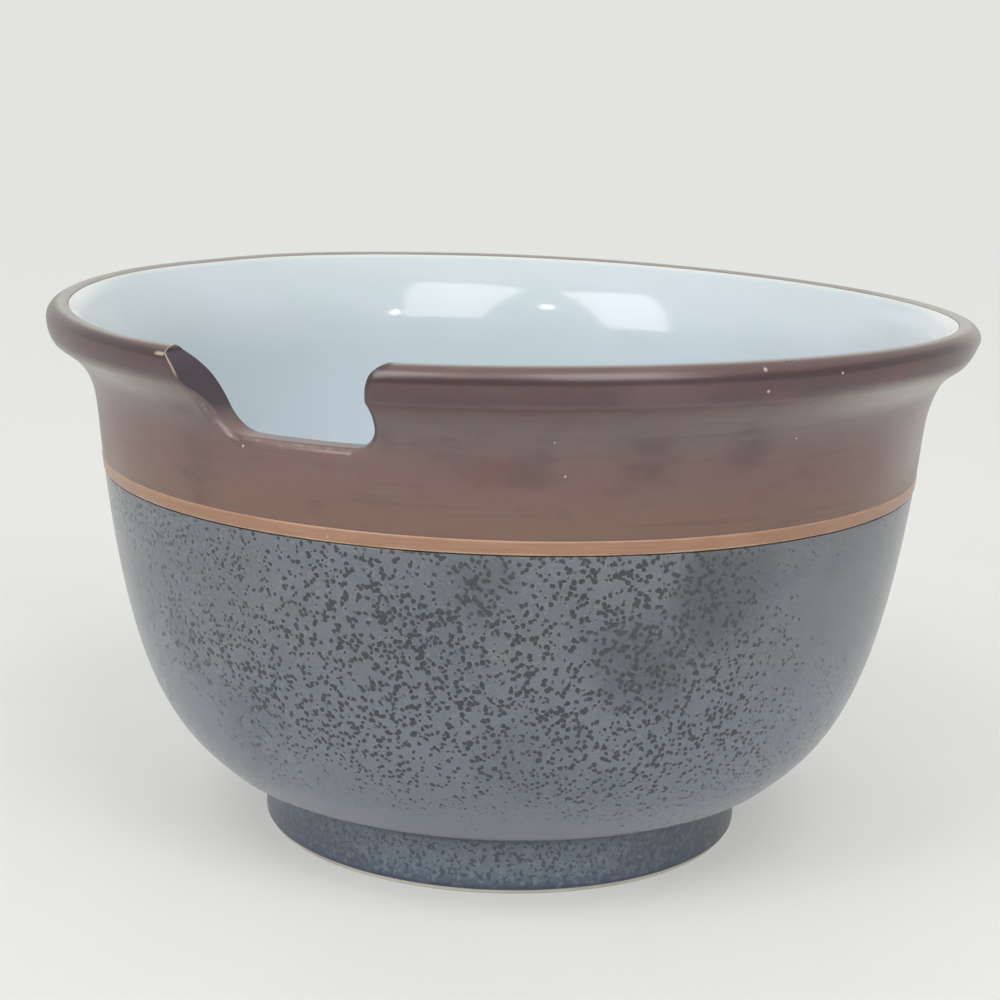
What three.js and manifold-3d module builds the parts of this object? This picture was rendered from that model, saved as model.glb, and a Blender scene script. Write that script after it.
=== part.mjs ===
// Noodle bowl in stoneware: a thrown body with a luted foot ring, a chopstick notch cut in the lip,
// and the coats of slip and glaze that lie on the clay. Millimetres and degrees, +Z up, origin on the
// table under the bowl's axis, front of the bowl towards -Y.
import * as THREE from 'three';
import { mergeVertices } from 'three/addons/utils/BufferGeometryUtils.js';
import Module from 'manifold-3d';

// Overall size
const rimRadius = 76;          // axis to the widest point of the lip
const bowlHeight = 88.8;       // table to the top of the lip

// Foot ring and base
const footRadius = 39.6;
const footHeight = 10.3;       // outside of the foot, up to the underside of the wall
const footWidth = 6;
const footChamfer = 0.8;
const bareFoot = 0.9;          // unglazed strip above the table
const baseRecess = 5.5;        // hollow under the bowl, inside the foot ring
const floorThickness = 5.5;

// Wall
const heelReach = 11.4;        // heel of the belly, out from the foot
const heelRise = 4.3;          // heel of the belly, up from the top of the foot
const lipFlare = 8.6;          // lip, out from the waist under it
const waistDrop = 24.6;        // waist, down from the top of the lip
const wallThickness = 4.5;

// Lip bead
const beadRootDrop = 5.5;      // crease under the bead, down from the top of the lip
const beadRootInset = 0.8;     // crease under the bead, in from the widest point
const beadWidestDrop = 2.3;
const lipTopInset = 3.2;
const glazeLineInset = 4.2;    // where the inner glaze meets the rim glaze on the lip
const glazeLineDrop = 0.8;

// Colour band round the waist, measured down from the top of the lip to its lower edge
const bandDrop = 27.4;
const bandWidth = 2.1;

// Notch in the lip
const notchAngle = -25;        // round from the front, towards -X
const notchDepth = 13.8;
const notchWidth = 24.3;       // along the floor, before the fillets
const notchFillet = 5;
const notchCorner = 2.5;       // rounding at the top of its sides
const leftLean = 29;           // side walls, from upright
const rightLean = 8.5;
const overshoot = 6;           // how far a cutter runs past the solid that it cuts

// Coats on the clay
const coat = 0.5;              // thickness of each slip or glaze
const gap = 0.3;               // clearance between neighbouring solids

// Directions of the section's tangents, counter-clockwise from outwards
const undersideAngle = 14;
const heelAngle = 42;
const waistAngle = 83.7;
const flareAngle = 34;
const beadAngle = 62;
const glazeLineAngle = 221;
const uprightAngle = 90;
const inwardAngle = 180;

// Handle lengths where each stretch of the section leaves and arrives, as shares of its straight distance
const heelPulls = [0.8, 0.5];
const bellyPulls = [0.19, 0.62];
const flarePulls = [0.49, 0.44];
const beadPulls = [0.33, 0.33];
const crownPulls = [0.39, 0.39];
const innerLipPulls = [0.35, 0.35];
const throatPulls = [0.45, 0.4];
const insidePulls = [0.52, 0.6];

// Steps along each stretch of the section, and facets round the axis
const facets = 48;
const heelSteps = 3;
const bellySteps = 7;
const flareSteps = 6;
const beadSteps = 2;
const crownSteps = 4;
const innerLipSteps = 2;
const throatSteps = 5;
const insideSteps = 8;
const arcSteps = 4;

const radians = THREE.MathUtils.degToRad;
const point = (radius, height) => new THREE.Vector2(radius, height);

const wasm = await Module();
wasm.setup();

function heading(angle) {
  return point(Math.cos(radians(angle)), Math.sin(radians(angle)));
}

// Smooth stretch of the section that leaves and arrives in given directions.
function stretch(from, to, leaveAngle, arriveAngle, pulls, steps) {
  const reach = from.distanceTo(to);
  const leave = heading(leaveAngle).multiplyScalar(pulls[0] * reach).add(from);
  const arrive = heading(arriveAngle).multiplyScalar(-pulls[1] * reach).add(to);
  return new THREE.CubicBezierCurve(from, leave, arrive, to).getPoints(steps).slice(1);
}

// Line parallel to an outline, to its left, with mitred corners. A point on the axis stays there.
function parallel(outline, distance) {
  const normals = outline.slice(1).map((end, i) => {
    const along = end.clone().sub(outline[i]).normalize();
    return point(-along.y, along.x);
  });
  return outline.map((corner, i) => {
    const before = normals[Math.max(i - 1, 0)];
    const after = normals[Math.min(i, normals.length - 1)];
    const mitre = before.clone().add(after).multiplyScalar(distance / (1 + before.dot(after)));
    return corner.x === 0 ? point(0, corner.y + mitre.y) : corner.clone().add(mitre);
  });
}

// Part of a rising outline between two heights.
function between(outline, low, high) {
  const at = (height) => {
    const i = outline.findIndex((corner) => corner.y >= height);
    const share = (height - outline[i - 1].y) / (outline[i].y - outline[i - 1].y);
    return outline[i - 1].clone().lerp(outline[i], share);
  };
  return [at(low), ...outline.filter((corner) => corner.y > low && corner.y < high), at(high)];
}

// Moves the first and last point of an outline along it, to leave half a gap to each neighbour.
function eased(outline) {
  const shortened = outline.map((corner) => corner.clone());
  const last = outline.length - 1;
  const pull = (end, next) => end.add(next.clone().sub(end).setLength(gap / 2));
  pull(shortened[0], outline[1]);
  if (outline[last].x > 0) pull(shortened[last], outline[last - 1]);
  return shortened;
}

function solid(geometry) {
  geometry.deleteAttribute('normal');
  geometry.deleteAttribute('uv');
  const merged = mergeVertices(geometry);
  const corners = Array.from(merged.index.array);
  const faces = [];
  for (let i = 0; i < corners.length; i += 3) {
    const face = corners.slice(i, i + 3);
    if (new Set(face).size === 3) faces.push(...face);
  }
  return new wasm.Manifold(new wasm.Mesh({
    numProp: 3,
    vertProperties: new Float32Array(merged.attributes.position.array),
    triVerts: new Uint32Array(faces),
  }));
}

// Solid of revolution from a closed outline that runs counter-clockwise.
function turned(outline) {
  const onAxis = outline[0].x === 0 && outline[outline.length - 1].x === 0;
  const profile = onAxis ? outline : [...outline, outline[0]];
  const geometry = new THREE.LatheGeometry(profile, facets);
  geometry.rotateX(Math.PI / 2);
  return solid(geometry);
}

// Coat on a stretch of the skin, as thick as the glaze.
function coatOn(skin) {
  const front = eased(skin);
  return turned([...front, ...parallel(front, coat).reverse()]);
}

// Section of the bowl: the skin that is seen, from the table up the outside, over the lip and down
// the inside to the middle of the floor
const waistRadius = rimRadius - lipFlare;
const footTop = point(footRadius, footHeight);
const heel = point(footRadius + heelReach, footHeight + heelRise);
const waist = point(waistRadius, bowlHeight - waistDrop);
const beadRoot = point(rimRadius - beadRootInset, bowlHeight - beadRootDrop);
const beadWidest = point(rimRadius, bowlHeight - beadWidestDrop);
const lipTop = point(rimRadius - lipTopInset, bowlHeight);
const glazeLine = point(rimRadius - glazeLineInset, bowlHeight - glazeLineDrop);
const innerWaist = point(waistRadius - wallThickness, bowlHeight - waistDrop);
const floorCentre = point(0, baseRecess + floorThickness);

const wallSkin = [
  footTop,
  ...stretch(footTop, heel, undersideAngle, heelAngle, heelPulls, heelSteps),
  ...stretch(heel, waist, heelAngle, waistAngle, bellyPulls, bellySteps),
  ...stretch(waist, beadRoot, waistAngle, flareAngle, flarePulls, flareSteps),
  ...stretch(beadRoot, beadWidest, beadAngle, uprightAngle, beadPulls, beadSteps),
];
const lipSkin = [
  ...stretch(beadWidest, lipTop, uprightAngle, inwardAngle, crownPulls, crownSteps),
  ...stretch(lipTop, glazeLine, inwardAngle, glazeLineAngle, innerLipPulls, innerLipSteps),
];
const innerWaistAngle = waistAngle + inwardAngle;
const throatSkin = stretch(glazeLine, innerWaist, glazeLineAngle, innerWaistAngle, throatPulls, throatSteps);
const bowlSkin = stretch(innerWaist, floorCentre, innerWaistAngle, inwardAngle, insidePulls, insideSteps);
const innerSkin = [glazeLine, ...throatSkin, ...bowlSkin];

// Notch cutter, grown on every side by the given distance. Its sides keep their slopes, and its arcs
// keep their centres.
const notchFloor = bowlHeight - notchDepth;

function notchSide(lean) {
  const halfWidth = notchWidth / 2;
  const sine = Math.sin(radians(lean));
  const cosine = Math.cos(radians(lean));
  const filletX = halfWidth - notchFillet * (1 - sine) / cosine;
  const cornerX = halfWidth + (notchCorner + (notchDepth - notchCorner) * sine) / cosine;
  return {
    fillet: point(filletX, notchFloor + notchFillet),
    corner: point(cornerX, bowlHeight - notchCorner),
  };
}

function notchCutter(growth) {
  const right = notchSide(rightLean);
  const left = notchSide(leftLean);
  const filletRadius = notchFillet + growth;
  const cornerRadius = notchCorner - growth;
  const top = bowlHeight + overshoot;
  const outline = new THREE.Shape();
  outline.moveTo(-left.corner.x, top);
  outline.absarc(-left.corner.x, left.corner.y, cornerRadius, Math.PI / 2, radians(leftLean), true);
  outline.absarc(-left.fillet.x, left.fillet.y, filletRadius, radians(180 + leftLean), radians(270), false);
  outline.absarc(right.fillet.x, right.fillet.y, filletRadius, radians(270), radians(-rightLean), false);
  outline.absarc(right.corner.x, right.corner.y, cornerRadius, radians(180 - rightLean), Math.PI / 2, true);
  outline.lineTo(right.corner.x, top);
  const geometry = new THREE.ExtrudeGeometry(outline, {
    depth: rimRadius + overshoot,
    bevelEnabled: false,
    curveSegments: arcSteps,
  });
  geometry.rotateX(Math.PI / 2);
  geometry.rotateZ(radians(notchAngle));
  return solid(geometry);
}

const seenNotch = notchCutter(0);
const coatedNotch = notchCutter(coat);
const clayNotch = notchCutter(coat + gap);

// Clay: the thrown body, and the ring luted under it
const clayUnderside = baseRecess + coat + gap;
const clayFootRadius = footRadius - coat - gap;
const clayFootInner = footRadius - footWidth + coat + gap;
const bowlOutline = [point(footRadius, 0), ...wallSkin, ...lipSkin, ...innerSkin.slice(1)];
const claySkin = parallel(bowlOutline, coat + gap);
const clayBody = turned([
  point(0, clayUnderside),
  point(clayFootRadius, clayUnderside),
  ...claySkin.slice(1),
]).subtract(clayNotch);

const ringTop = clayUnderside - gap;
const footRing = turned([
  point(clayFootRadius - footChamfer, 0),
  point(clayFootRadius, footChamfer),
  point(clayFootRadius, ringTop),
  point(clayFootInner, ringTop),
  point(clayFootInner, footChamfer),
  point(clayFootInner + footChamfer, 0),
]);

// Rim glaze: what is left of the upper wall, from the band to the glaze line, once the core behind the
// coat is cut out. The core stops short of the notch, so the coat also lines the notch.
const bandLow = bowlHeight - bandDrop;
const bandHigh = bandLow + bandWidth;
const rimSkin = eased([...between(wallSkin, bandHigh, beadWidest.y), ...lipSkin]);
const upperInside = between([...innerSkin].reverse(), rimSkin[0].y, glazeLine.y).reverse();
const upperWall = turned([...rimSkin, ...upperInside.slice(1)]);
const coatBack = parallel(rimSkin, coat);
const coreInside = parallel(upperInside.slice(1), -overshoot);
const belowBand = rimSkin[0].y - overshoot;
const core = turned([
  point(coatBack[0].x, belowBand),
  ...coatBack,
  rimSkin[rimSkin.length - 1],
  ...coreInside,
  point(coreInside[coreInside.length - 1].x, belowBand),
]);
const rimGlaze = upperWall.subtract(core.subtract(coatedNotch)).subtract(seenNotch);

// The other coats
const innerGlaze = coatOn(innerSkin).subtract(clayNotch);
const tanBand = coatOn(between(wallSkin, bandLow, bandHigh));
const speckledGlaze = coatOn([footTop, ...between(wallSkin, footTop.y + gap, bandLow).slice(1)]);
const footGlaze = coatOn([point(footRadius, bareFoot), footTop]);
const baseGlaze = coatOn([
  point(0, baseRecess),
  point(footRadius - footWidth, baseRecess),
  point(footRadius - footWidth, bareFoot),
].reverse());

const bowl = new THREE.Group();

function addPiece(name, shape, color, roughness) {
  const faces = shape.getMesh();
  const geometry = new THREE.BufferGeometry();
  geometry.setAttribute('position', new THREE.BufferAttribute(faces.vertProperties, 3));
  geometry.setIndex(new THREE.BufferAttribute(faces.triVerts, 1));
  geometry.computeVertexNormals();
  const material = new THREE.MeshStandardMaterial({ color, roughness, metalness: 0 });
  const piece = new THREE.Mesh(geometry, material);
  piece.name = name;
  bowl.add(piece);
}

addPiece('clay_body', clayBody, 0xcdbfa8, 0.9);
addPiece('foot_ring', footRing, 0xcdbfa8, 0.9);
addPiece('inner_glaze', innerGlaze, 0xbccdd5, 0.15);
addPiece('rim_glaze', rimGlaze, 0x6c5755, 0.45);
addPiece('tan_band', tanBand, 0xae8468, 0.5);
addPiece('speckled_glaze', speckledGlaze, 0x70787e, 0.4);
addPiece('foot_glaze', footGlaze, 0x4d5b6c, 0.4);
addPiece('base_glaze', baseGlaze, 0x4d5b6c, 0.4);

export default bowl;
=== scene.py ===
# %% [markdown]
# # A noodle bowl with a chopstick notch
#
# The bowl is stoneware: a clay body with coats of glaze on it, brown on the lip, slate blue on the belly
# and pale blue inside. The imported CAD model gives its size and its named pieces. This lesson makes a
# finer piece for each of them, in the same place, and then the glazes, the light and the floor.
#
# It starts by loading the CAD model and keeping only its meshes.

# %% Load the frame
from math import asin, cos, degrees, pi, radians, sin, sqrt, tan

import bpy
from mathutils import Matrix, Vector
from mathutils.geometry import interpolate_bezier


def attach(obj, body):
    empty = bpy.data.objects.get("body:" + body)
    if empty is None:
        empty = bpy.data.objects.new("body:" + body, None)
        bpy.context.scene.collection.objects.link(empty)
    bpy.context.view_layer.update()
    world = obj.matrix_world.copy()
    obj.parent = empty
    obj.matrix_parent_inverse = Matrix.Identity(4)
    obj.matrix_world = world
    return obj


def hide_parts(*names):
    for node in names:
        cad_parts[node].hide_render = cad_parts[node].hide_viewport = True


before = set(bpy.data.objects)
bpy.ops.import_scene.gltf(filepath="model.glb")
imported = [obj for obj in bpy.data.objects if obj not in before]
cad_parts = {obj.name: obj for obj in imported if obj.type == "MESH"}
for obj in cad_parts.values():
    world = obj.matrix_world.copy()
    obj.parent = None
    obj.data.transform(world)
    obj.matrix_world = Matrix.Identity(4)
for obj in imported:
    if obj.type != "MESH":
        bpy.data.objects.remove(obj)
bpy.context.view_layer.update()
MM = 0.001
print("CAD pieces:", ", ".join(sorted(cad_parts)))

# %% [markdown]
# ## The camera
#
# The camera stands in front of the bowl and a little above its lip. A long lens keeps the round rim
# from looking stretched. Its place and its turn are written as the directions of its right, its up and
# its view, because a camera that is held slightly askew is awkward to give as three angles.

# %% Camera
LENS = 79.27
SENSOR_WIDTH = 36
CLIP_START = 0.01
CAMERA_DISTANCE = 363.42 * MM
CAMERA_HEIGHT = 134.26 * MM
CAMERA_YAW = -0.0038
CAMERA_PITCH = 0.2161
CAMERA_ROLL = 0.0279

bpy.ops.object.select_all(action="DESELECT")
bpy.ops.object.camera_add(location=(0, -CAMERA_DISTANCE, CAMERA_HEIGHT))
camera = bpy.context.object
camera.data.lens = LENS
camera.data.sensor_width = SENSOR_WIDTH
camera.data.clip_start = CLIP_START
ahead = Vector((sin(CAMERA_YAW), cos(CAMERA_YAW), 0))
view = ahead * cos(CAMERA_PITCH) - Vector((0, 0, sin(CAMERA_PITCH)))
flat = Vector((cos(CAMERA_YAW), -sin(CAMERA_YAW), 0))
steep = flat.cross(view)
camera_right = flat * cos(CAMERA_ROLL) + steep * sin(CAMERA_ROLL)
camera_up = steep * cos(CAMERA_ROLL) - flat * sin(CAMERA_ROLL)
turned = Matrix((camera_right, camera_up, -view)).transposed().to_4x4()
camera.matrix_world = Matrix.Translation(camera.location) @ turned
bpy.context.scene.camera = camera
bpy.context.scene.view_settings.view_transform = "Standard"
print(f"camera {CAMERA_DISTANCE:.3f} m in front, looking down {degrees(CAMERA_PITCH):.1f} degrees")

# %% [markdown]
# ## The section of the bowl
#
# Everything on a thrown bowl follows from one line: half of its section, from the foot up the outside,
# over the lip and down the inside. It is drawn as Bezier stretches, each with a direction at both ends,
# so that belly, waist, flare and lip run into each other without a corner. The numbers are the CAD
# model's own, in millimetres, except at the crest of the lip and the foot, which are drawn finer.

# %% Section lines
RIM_RADIUS = 76
BOWL_HEIGHT = 88.8
FOOT_RADIUS = 40.3
FOOT_HEIGHT = 10.3
FOOT_WIDTH = 6
BARE_FOOT = 0.9
BASE_RECESS = 5.5
FLOOR_HEIGHT = 11
WALL = 4.5
BAND_LOW = 61.4
BAND_HIGH = 63.5
COAT = 0.45


def stretch(start, end, leave, arrive, leave_pull, arrive_pull, steps):
    """Points of a Bezier stretch from start to end, in (radius, height).

    It leaves and arrives at angles in degrees. The pulls are shares of its straight length."""
    start, end = Vector(start), Vector(end)
    reach = (end - start).length
    first = start + Vector((cos(radians(leave)), sin(radians(leave)))) * leave_pull * reach
    second = end - Vector((cos(radians(arrive)), sin(radians(arrive)))) * arrive_pull * reach
    corners = [p.to_3d() for p in (start, first, second, end)]
    return [p.to_2d() for p in interpolate_bezier(*corners, steps)]


foot_top = (FOOT_RADIUS, FOOT_HEIGHT)
heel = (51, 14.6)
waist = (67.4, 64.2)
bead_root = (75.2, 83.3)
bead_widest = (RIM_RADIUS, 86.5)
lip_top = (73.6, BOWL_HEIGHT)
glaze_line = (72.6, 88.5)
throat_top = (71.8, 87.95)
inner_waist = (waist[0] - WALL, waist[1])

belly_line = stretch(foot_top, heel, 14, 42, 0.8, 0.5, 16)
belly_line += stretch(heel, waist, 42, 83.7, 0.19, 0.62, 48)[1:]
flare_line = stretch(waist, bead_root, 83.7, 34, 0.49, 0.44, 60)
bead_line = stretch(bead_root, bead_widest, 62, 90, 0.33, 0.33, 24)
crown_line = stretch(bead_widest, lip_top, 90, 180, 0.39, 0.39, 40)
inner_lip_line = stretch(lip_top, glaze_line, 180, 210, 0.35, 0.35, 16)
throat_line = stretch(glaze_line, throat_top, 210, 221, 0.35, 0.35, 8)
throat_line += stretch(throat_top, inner_waist, 221, 263.7, 0.45, 0.4, 80)[1:]
inside_line = stretch(inner_waist, (0, FLOOR_HEIGHT), 263.7, 180, 0.52, 0.6, 60)
OUTER_LINE = belly_line + flare_line[1:] + bead_line[1:] + crown_line[1:]
INNER_TOP_LINE = inner_lip_line + throat_line[1:]
print(f"section: {len(OUTER_LINE)} points outside, {len(INNER_TOP_LINE) + len(inside_line)} inside")

# %% [markdown]
# ## Turning a piece
#
# The foot, the belly's glaze and the band are plain turned shapes. By hand one would add a single vertex,
# extrude it along the section and use Spin, and that is what the first two helpers do. Spin leaves a seam
# where it closes, so doubles are merged, and only then are the faces pointed outwards. A coat is a thin
# skin, so Solidify gives it its thickness on the clay's side, and a small bevel rounds its rim.


# %% Helpers for turned pieces
SEGMENTS = 192
MERGE = 0.001 * MM
SKIN = 0.4


def draw_section(name, points):
    """A new mesh object whose edges follow the section, ready in edit mode."""
    corners = [Vector((radius, 0, height)) * MM for radius, height in points]
    bpy.ops.object.select_all(action="DESELECT")
    bpy.ops.mesh.primitive_plane_add(size=MM)
    piece = bpy.context.object
    piece.name = piece.data.name = name
    bpy.ops.object.mode_set(mode="EDIT")
    bpy.ops.mesh.select_all(action="SELECT")
    bpy.ops.mesh.merge(type="CENTER")
    bpy.ops.transform.translate(value=corners[0])
    for here, there in zip(corners, corners[1:]):
        bpy.ops.mesh.extrude_region_move(TRANSFORM_OT_translate={"value": there - here})
    return piece


def spin_section(inside=False):
    """Spins the section in edit mode round the bowl's axis and goes back to object mode."""
    bpy.ops.mesh.select_all(action="SELECT")
    bpy.ops.mesh.spin(steps=SEGMENTS, angle=2 * pi, center=(0, 0, 0), axis=(0, 0, 1))
    bpy.ops.mesh.select_all(action="SELECT")
    bpy.ops.mesh.remove_doubles(threshold=MERGE)
    bpy.ops.mesh.normals_make_consistent(inside=inside)
    bpy.ops.object.mode_set(mode="OBJECT")


def apply(piece, kind, **settings):
    """Adds a modifier with the given settings and applies it."""
    modifier = piece.modifiers.new(kind.title(), kind)
    for name, value in settings.items():
        setattr(modifier, name, value)
    bpy.context.view_layer.objects.active = piece
    bpy.ops.object.modifier_apply(modifier=modifier.name)


def thicken(piece, thickness, even=True):
    """Gives a skin its thickness, in mm, on the clay's side."""
    apply(piece, "SOLIDIFY", thickness=thickness * MM, offset=-1, use_even_offset=even)


def round_edges(piece, width, segments, sharp):
    """Bevels the edges that turn by more than an angle in degrees. The width is in mm."""
    limits = {"limit_method": "ANGLE", "angle_limit": radians(sharp)}
    apply(piece, "BEVEL", width=width * MM, segments=segments, **limits)


def finish(piece, node, sharp=40):
    """Smooth shading, the piece under the bowl's root, and the CAD node that it stands for hidden."""
    bpy.ops.object.select_all(action="DESELECT")
    piece.select_set(True)
    bpy.context.view_layer.objects.active = piece
    bpy.ops.object.shade_smooth_by_angle(angle=radians(sharp))
    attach(piece, "root")
    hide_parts(node)
    print(f"{piece.name}: {len(piece.data.polygons)} faces, stands for {node}")


# %% [markdown]
# ## Foot ring
#
# The ring that the bowl stands on is bare clay at the very bottom, a pale line against the table. Its
# section is closed, so spinning it gives a solid ring at once, and a small bevel takes off its edges.

# %% Foot ring
RING_OUTER = FOOT_RADIUS - COAT
RING_INNER = FOOT_RADIUS - FOOT_WIDTH + COAT
RING_TOP = 6.2
foot_ring = draw_section("foot_ring_clay", [
    (RING_INNER, 0),
    (RING_OUTER, 0),
    (RING_OUTER, RING_TOP),
    (RING_INNER, RING_TOP),
])
bpy.ops.mesh.select_all(action="SELECT")
bpy.ops.mesh.edge_face_add()
bpy.ops.mesh.delete(type="ONLY_FACE")
spin_section()
round_edges(foot_ring, width=0.6, segments=4, sharp=40)
finish(foot_ring, "foot_ring")

# %% [markdown]
# ## Glaze on the foot and under the bowl
#
# Glaze runs down the outside of the foot and stops just above the table, with a soft rounded edge where
# it was wiped off. The hollow under the bowl is glazed too. Both are skins, spun and then thickened.

# %% Foot glaze and base glaze
foot_glaze = draw_section("foot_glaze_coat", [
    (FOOT_RADIUS - 0.42, BARE_FOOT - 0.12),
    (FOOT_RADIUS - 0.2, BARE_FOOT - 0.05),
    (FOOT_RADIUS - 0.06, BARE_FOOT + 0.15),
    (FOOT_RADIUS, BARE_FOOT + 0.5),
    (FOOT_RADIUS, 4),
    (FOOT_RADIUS, 7),
    (FOOT_RADIUS, FOOT_HEIGHT - 0.6),
    (FOOT_RADIUS + 0.08, FOOT_HEIGHT - 0.2),
    (FOOT_RADIUS + 0.3, FOOT_HEIGHT + 0.1),
])
spin_section()
thicken(foot_glaze, SKIN)
finish(foot_glaze, "foot_glaze")

HOLLOW = FOOT_RADIUS - FOOT_WIDTH
base_glaze = draw_section("base_glaze_coat", [
    (HOLLOW, BARE_FOOT),
    (HOLLOW, 3.5),
    (HOLLOW - 0.12, 4.4),
    (HOLLOW - 0.5, 5.1),
    (HOLLOW - 1.1, BASE_RECESS),
    (HOLLOW - 12, BASE_RECESS),
    (0, BASE_RECESS),
])
spin_section(inside=True)
thicken(base_glaze, SKIN)
finish(base_glaze, "base_glaze")

# %% [markdown]
# ## Glaze on the belly
#
# The speckled glaze covers the belly from the foot up to the band. It stops a hair below the band, and
# the narrow groove that this leaves is the crisp dark line under the band. A tiny bevel rounds its rim.

# %% Belly glaze
GROOVE = 0.2
belly_top = BAND_LOW - GROOVE
belly_points = [p for p in belly_line if p.y < belly_top - 0.2]
share = (belly_top - belly_points[-1].y) / (waist[1] - belly_points[-1].y)
belly_points.append(belly_points[-1].lerp(Vector(waist), share))
belly_glaze = draw_section("speckled_glaze_coat", belly_points)
spin_section()
thicken(belly_glaze, COAT)
round_edges(belly_glaze, width=0.12, segments=3, sharp=50)
finish(belly_glaze, "speckled_glaze")

# %% [markdown]
# ## Tan band
#
# A narrow band of slip parts the brown from the blue. Slip lies on the clay as a low flat ridge, so the
# band stands out by a tenth of a millimetre and its edges are rounded enough to catch the light.

# %% Tan band
BAND_RELIEF = 0.12
BAND_SKIN = 0.5
BAND_ROWS = 6


def wall_radius(height):
    """Outer radius of the wall at a height, from the belly to the top of the lip."""
    for low, high in zip(OUTER_LINE, OUTER_LINE[1:]):
        if low.y <= height <= high.y and high.y > low.y:
            return low.x + (high.x - low.x) * (height - low.y) / (high.y - low.y)
    return OUTER_LINE[-1].x


band_steps = [BAND_LOW + (BAND_HIGH - BAND_LOW) * i / BAND_ROWS for i in range(BAND_ROWS + 1)]
band = draw_section("tan_band_coat", [(wall_radius(z) + BAND_RELIEF, z) for z in band_steps])
spin_section()
thicken(band, BAND_SKIN)
round_edges(band, width=0.16, segments=3, sharp=50)
finish(band, "tan_band")

# %% [markdown]
# ## The notch
#
# A notch to rest chopsticks in was cut through the lip before firing. Its left side slopes and meets the
# lip in a sharp step, its right side is steep, and its outer edge was sponged round. A Boolean would cut
# it in one step, but it would leave a ragged rim of slivers that can't be rounded. So the lip is made as
# sheets of vertices whose columns end on the line of the notch. First comes that line, seen from the
# front: sideways and up, from the lip on the left, through the notch, to the lip on the right.

# %% Line of the notch
NOTCH_TURN = radians(-25)
NOTCH_DEPTH = 13.45
LEFT_HALF = 15.75
LEFT_LEAN = 11
LEFT_FILLET = 5.2
LEFT_CORNER = 7.1
LEFT_STOP = 51
LEFT_TOP = 87.84
RIGHT_HALF = 10.6
RIGHT_LEAN = 12.2
RIGHT_FILLET = 4.6
RIGHT_CORNER = 5.3
RIGHT_STOP = 60
NOTCH_STEP = 0.45
ARC_STEPS = 24
STEP_SLANT = 0.04
notch_floor = BOWL_HEIGHT - NOTCH_DEPTH


def notch_side(half, lean, fillet, corner, stop=90, top=BOWL_HEIGHT):
    """One side of the notch, from its floor's middle to the lip: a fillet, a slope and a rounded corner.

    The corner's arc may stop at a smaller angle and a lower height, and then the rest is a sharp step."""
    lean, stop = radians(lean), radians(stop)
    fillet_x = half - fillet * (1 - sin(lean)) / cos(lean)
    corner_z = top - corner * sin(stop)
    corner_x = half + (corner_z - notch_floor) * tan(lean) + corner / cos(lean)
    points = [Vector((0, notch_floor))]
    for i in range(ARC_STEPS + 1):
        turn = (pi / 2 - lean) * i / ARC_STEPS
        points.append(Vector((fillet_x + fillet * sin(turn), notch_floor + fillet * (1 - cos(turn)))))
    for i in range(ARC_STEPS + 1):
        turn = lean + (stop - lean) * i / ARC_STEPS
        points.append(Vector((corner_x - corner * cos(turn), corner_z + corner * sin(turn))))
    if top < BOWL_HEIGHT:
        points.append(Vector((points[-1].x + STEP_SLANT, BOWL_HEIGHT)))
    return points


def resample(line, step):
    """Points at even steps along a line, with both of its ends."""
    lengths = [0]
    for a, b in zip(line, line[1:]):
        lengths.append(lengths[-1] + (b - a).length)
    count = max(2, round(lengths[-1] / step))
    result, k = [], 0
    for i in range(count + 1):
        at = lengths[-1] * i / count
        while k < len(line) - 2 and lengths[k + 1] < at:
            k += 1
        share = (at - lengths[k]) / max(lengths[k + 1] - lengths[k], 1e-9)
        result.append(line[k].lerp(line[k + 1], min(share, 1)))
    return result


left_side = notch_side(LEFT_HALF, LEFT_LEAN, LEFT_FILLET, LEFT_CORNER, LEFT_STOP, LEFT_TOP)
left_side = [Vector((-p.x, p.y)) for p in left_side]
right_side = notch_side(RIGHT_HALF, RIGHT_LEAN, RIGHT_FILLET, RIGHT_CORNER, RIGHT_STOP)
notch_points = resample(left_side[::-1] + right_side[1:], NOTCH_STEP)
print(f"notch {notch_points[-1].x - notch_points[0].x:.1f} mm wide at the lip, {len(notch_points)} columns")

# %% [markdown]
# ## Columns round the lip
#
# Across the notch the columns stand at the points of its line, close together on its steep sides. Round
# the rest of the lip they stand wider apart, and draw closer again towards the notch. A column near the
# notch runs straight through the wall, as the knife did, and opens a little to the left, because the left
# face was cut askew. Further away the columns point to the bowl's axis.
#
# Thrown rims are never quite flat. This one rises at the front right and sinks to the left of the notch
# and at the back, by about a millimetre, so every point of the lip is lifted by a small wave that dies out
# towards the waist. At the right end the underside of the lip was trimmed higher than elsewhere.

# %% Columns and the wave of the rim
LIP_STEP = 1.3
CLOSING = 0.75
LEFT_SKEW = 0.15
SKEW_FROM = 4
SKEW_FULL = 12
STRAIGHT_TO = 20
RADIAL_FROM = 42
FAR = 99
WAVE_FROM = 66
WAVE_SADDLE = 0.4
WAVE_TWIST = 0.6
WAVE_FRONT = 0.2
WAVE_RIGHT = 0.26
WAVE_DROP = 0.4
LEFT_RISE = 0.5
LEFT_SHARES = (-0.75, -1)
BACK_DROP = 0.35
BACK_SHARES = (0.2, 0.7)
BACK_BEHIND = 0.8
BACK_RIGHT = 0.6
THIN_RISE = 1.6
THIN_SHARES = (0.88, 1)
THIN_BELOW = (75, 83.5)
THIN_ABOVE = (87.2, 84)


def ease(low, high, value):
    """Smooth step from 0 at low to 1 at high."""
    share = min(max((value - low) / (high - low), 0), 1)
    return share * share * (3 - 2 * share)


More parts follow.
